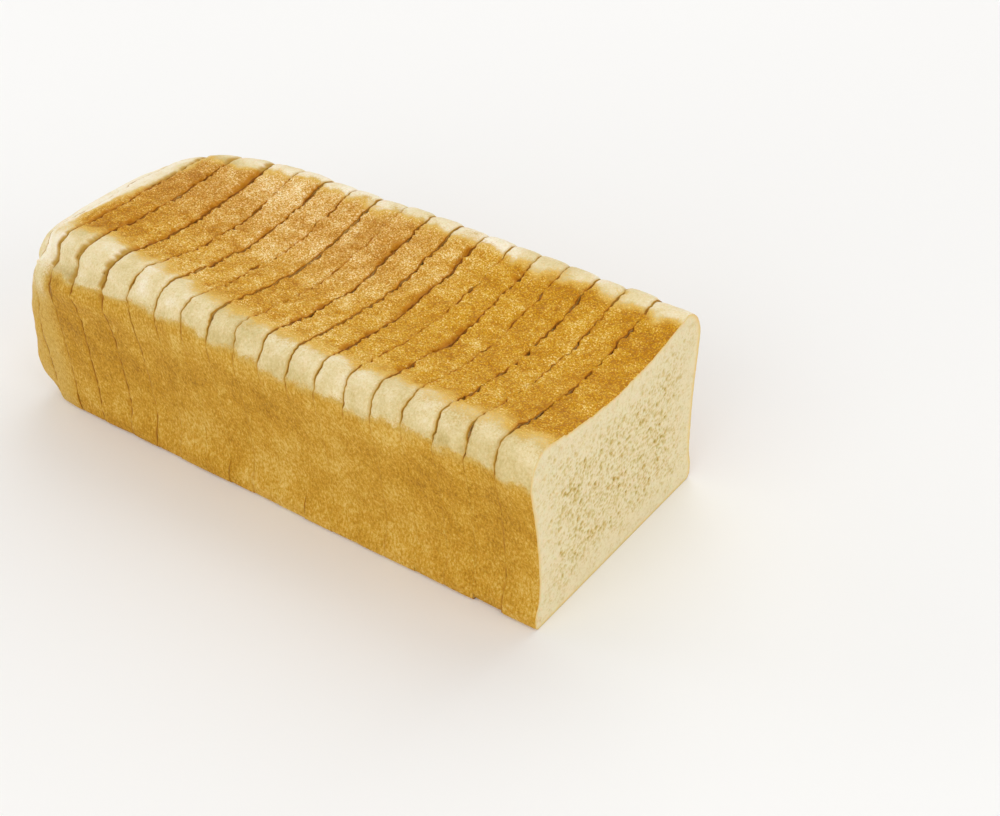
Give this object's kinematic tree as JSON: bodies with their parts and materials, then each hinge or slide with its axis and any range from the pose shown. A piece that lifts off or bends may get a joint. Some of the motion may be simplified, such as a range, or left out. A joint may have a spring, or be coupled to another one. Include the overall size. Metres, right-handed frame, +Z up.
{
  "type": "sliced tin loaf",
  "caption": "White tin loaf cut in slices that stand together with the heel, with rounded top corners and a sunken golden top.",
  "frame": {"origin": "centre of the loaf's box, at the level of the surface it stands on", "axes": "+X along the loaf from the heel to the open cut, +Y across it, +Z up"},
  "size_m": [0.294, 0.1268, 0.0931],
  "materials": {
    "heel_crust": "matt browned bread crust",
    "sliced_bread": "matt browned crust round pale soft crumb"
  },
  "bodies": {
    "root": {"heel": "heel_crust", "slice_01": "sliced_bread", "slice_02": "sliced_bread", "slice_03": "sliced_bread", "slice_04": "sliced_bread", "slice_05": "sliced_bread", "slice_06": "sliced_bread", "slice_07": "sliced_bread", "slice_08": "sliced_bread", "slice_09": "sliced_bread", "slice_10": "sliced_bread", "slice_11": "sliced_bread", "slice_12": "sliced_bread", "slice_13": "sliced_bread", "slice_14": "sliced_bread", "slice_15": "sliced_bread", "slice_16": "sliced_bread", "slice_17": "sliced_bread", "slice_18": "sliced_bread"}
  },
  "joints": []
}
